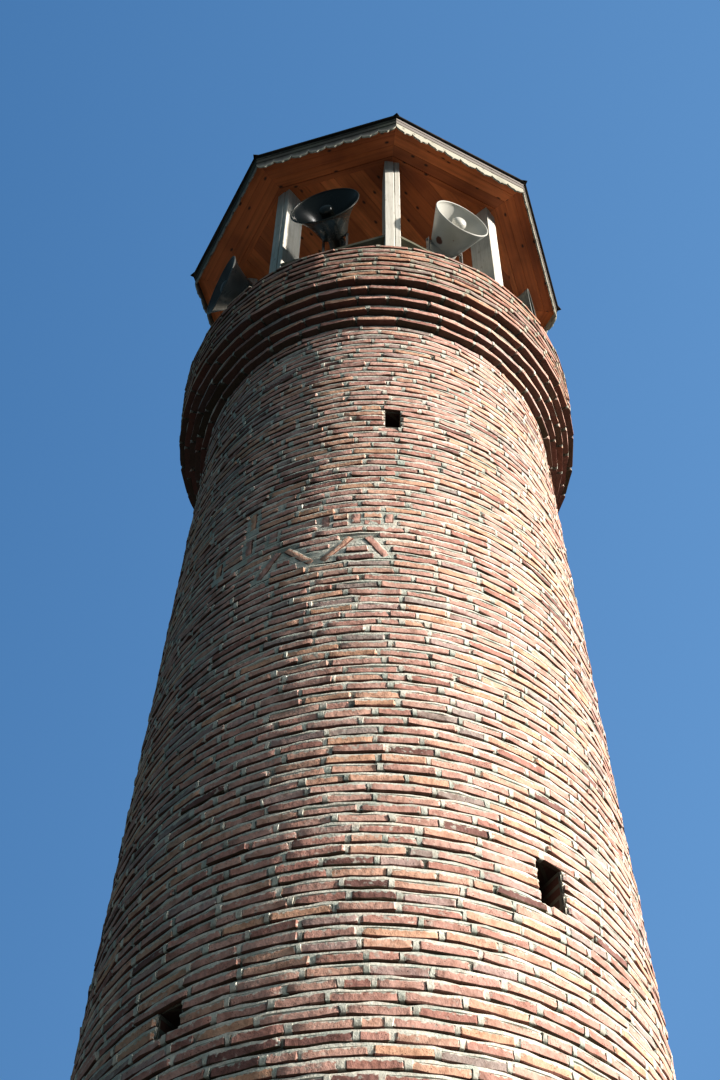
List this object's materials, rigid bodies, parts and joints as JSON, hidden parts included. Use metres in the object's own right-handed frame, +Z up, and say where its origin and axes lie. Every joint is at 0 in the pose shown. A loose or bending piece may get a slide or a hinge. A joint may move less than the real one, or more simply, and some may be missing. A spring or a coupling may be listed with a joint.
{
  "type": "brick minaret",
  "caption": "Tapering round brick tower with a stepped corbel and parapet carrying an open timber gallery, horn loudspeakers, a scalloped fascia and an eight-sided metal roof.",
  "frame": {"origin": "On the tower's axis at ground level, on the flat underside of the ground floor.", "axes": "+Z up along the tower; -Y is the pictured front; the doorway faces +Y."},
  "size_m": [3.0574, 3.0574, 16.2043],
  "materials": {
    "brickwork": "rough hand-made brick in pale lime mortar",
    "floor_brick": "worn brick paving and mortar",
    "white_paint": "cream-white painted softwood",
    "grey_timber": "weathered bare softwood",
    "pine": "stained and varnished pine boards",
    "roof_metal": "dark painted sheet metal",
    "brass": "dull brass",
    "dark_horn": "dark grey enamel",
    "pale_horn": "off-white enamel with rust spots",
    "grey_horn": "faded grey enamel",
    "steel": "dull galvanised steel"
  },
  "bodies": {
    "root": {"ground_floor": "floor_brick", "shaft_base_front_right": "brickwork", "shaft_base_front_left": "brickwork", "shaft_base_back_left": "brickwork", "shaft_base_back_right": "brickwork", "doorway_arch": "brickwork", "shaft_middle_front_right": "brickwork", "shaft_middle_front_left_lower": "brickwork", "shaft_middle_front_left_upper": "brickwork", "shaft_middle_back_left": "brickwork", "shaft_middle_back_right": "brickwork", "shaft_upper_front_right": "brickwork", "shaft_upper_front_left": "brickwork", "shaft_upper_back_left": "brickwork", "shaft_upper_back_right": "brickwork", "corbel_left": "brickwork", "corbel_right": "brickwork", "parapet_left": "brickwork", "parapet_right": "brickwork", "gallery_floor": "floor_brick", "post_1": "white_paint", "post_2": "white_paint", "post_3": "white_paint", "post_4": "white_paint", "post_5": "white_paint", "post_6": "white_paint", "post_7": "white_paint", "post_8": "white_paint", "rail_1": "grey_timber", "rail_2": "grey_timber", "rail_3": "grey_timber", "rail_4": "grey_timber", "rail_5": "grey_timber", "rail_6": "grey_timber", "rail_7": "grey_timber", "rail_8": "grey_timber", "ceiling": "pine", "soffit": "pine", "fascia": "white_paint", "roof": "roof_metal", "hip_caps": "roof_metal", "finial": "brass", "horn_1": "dark_horn", "horn_bracket_1": "steel", "horn_2": "dark_horn", "horn_bracket_2": "steel", "horn_3": "pale_horn", "horn_bracket_3": "steel", "horn_4": "grey_horn", "horn_bracket_4": "steel"}
  },
  "joints": []
}
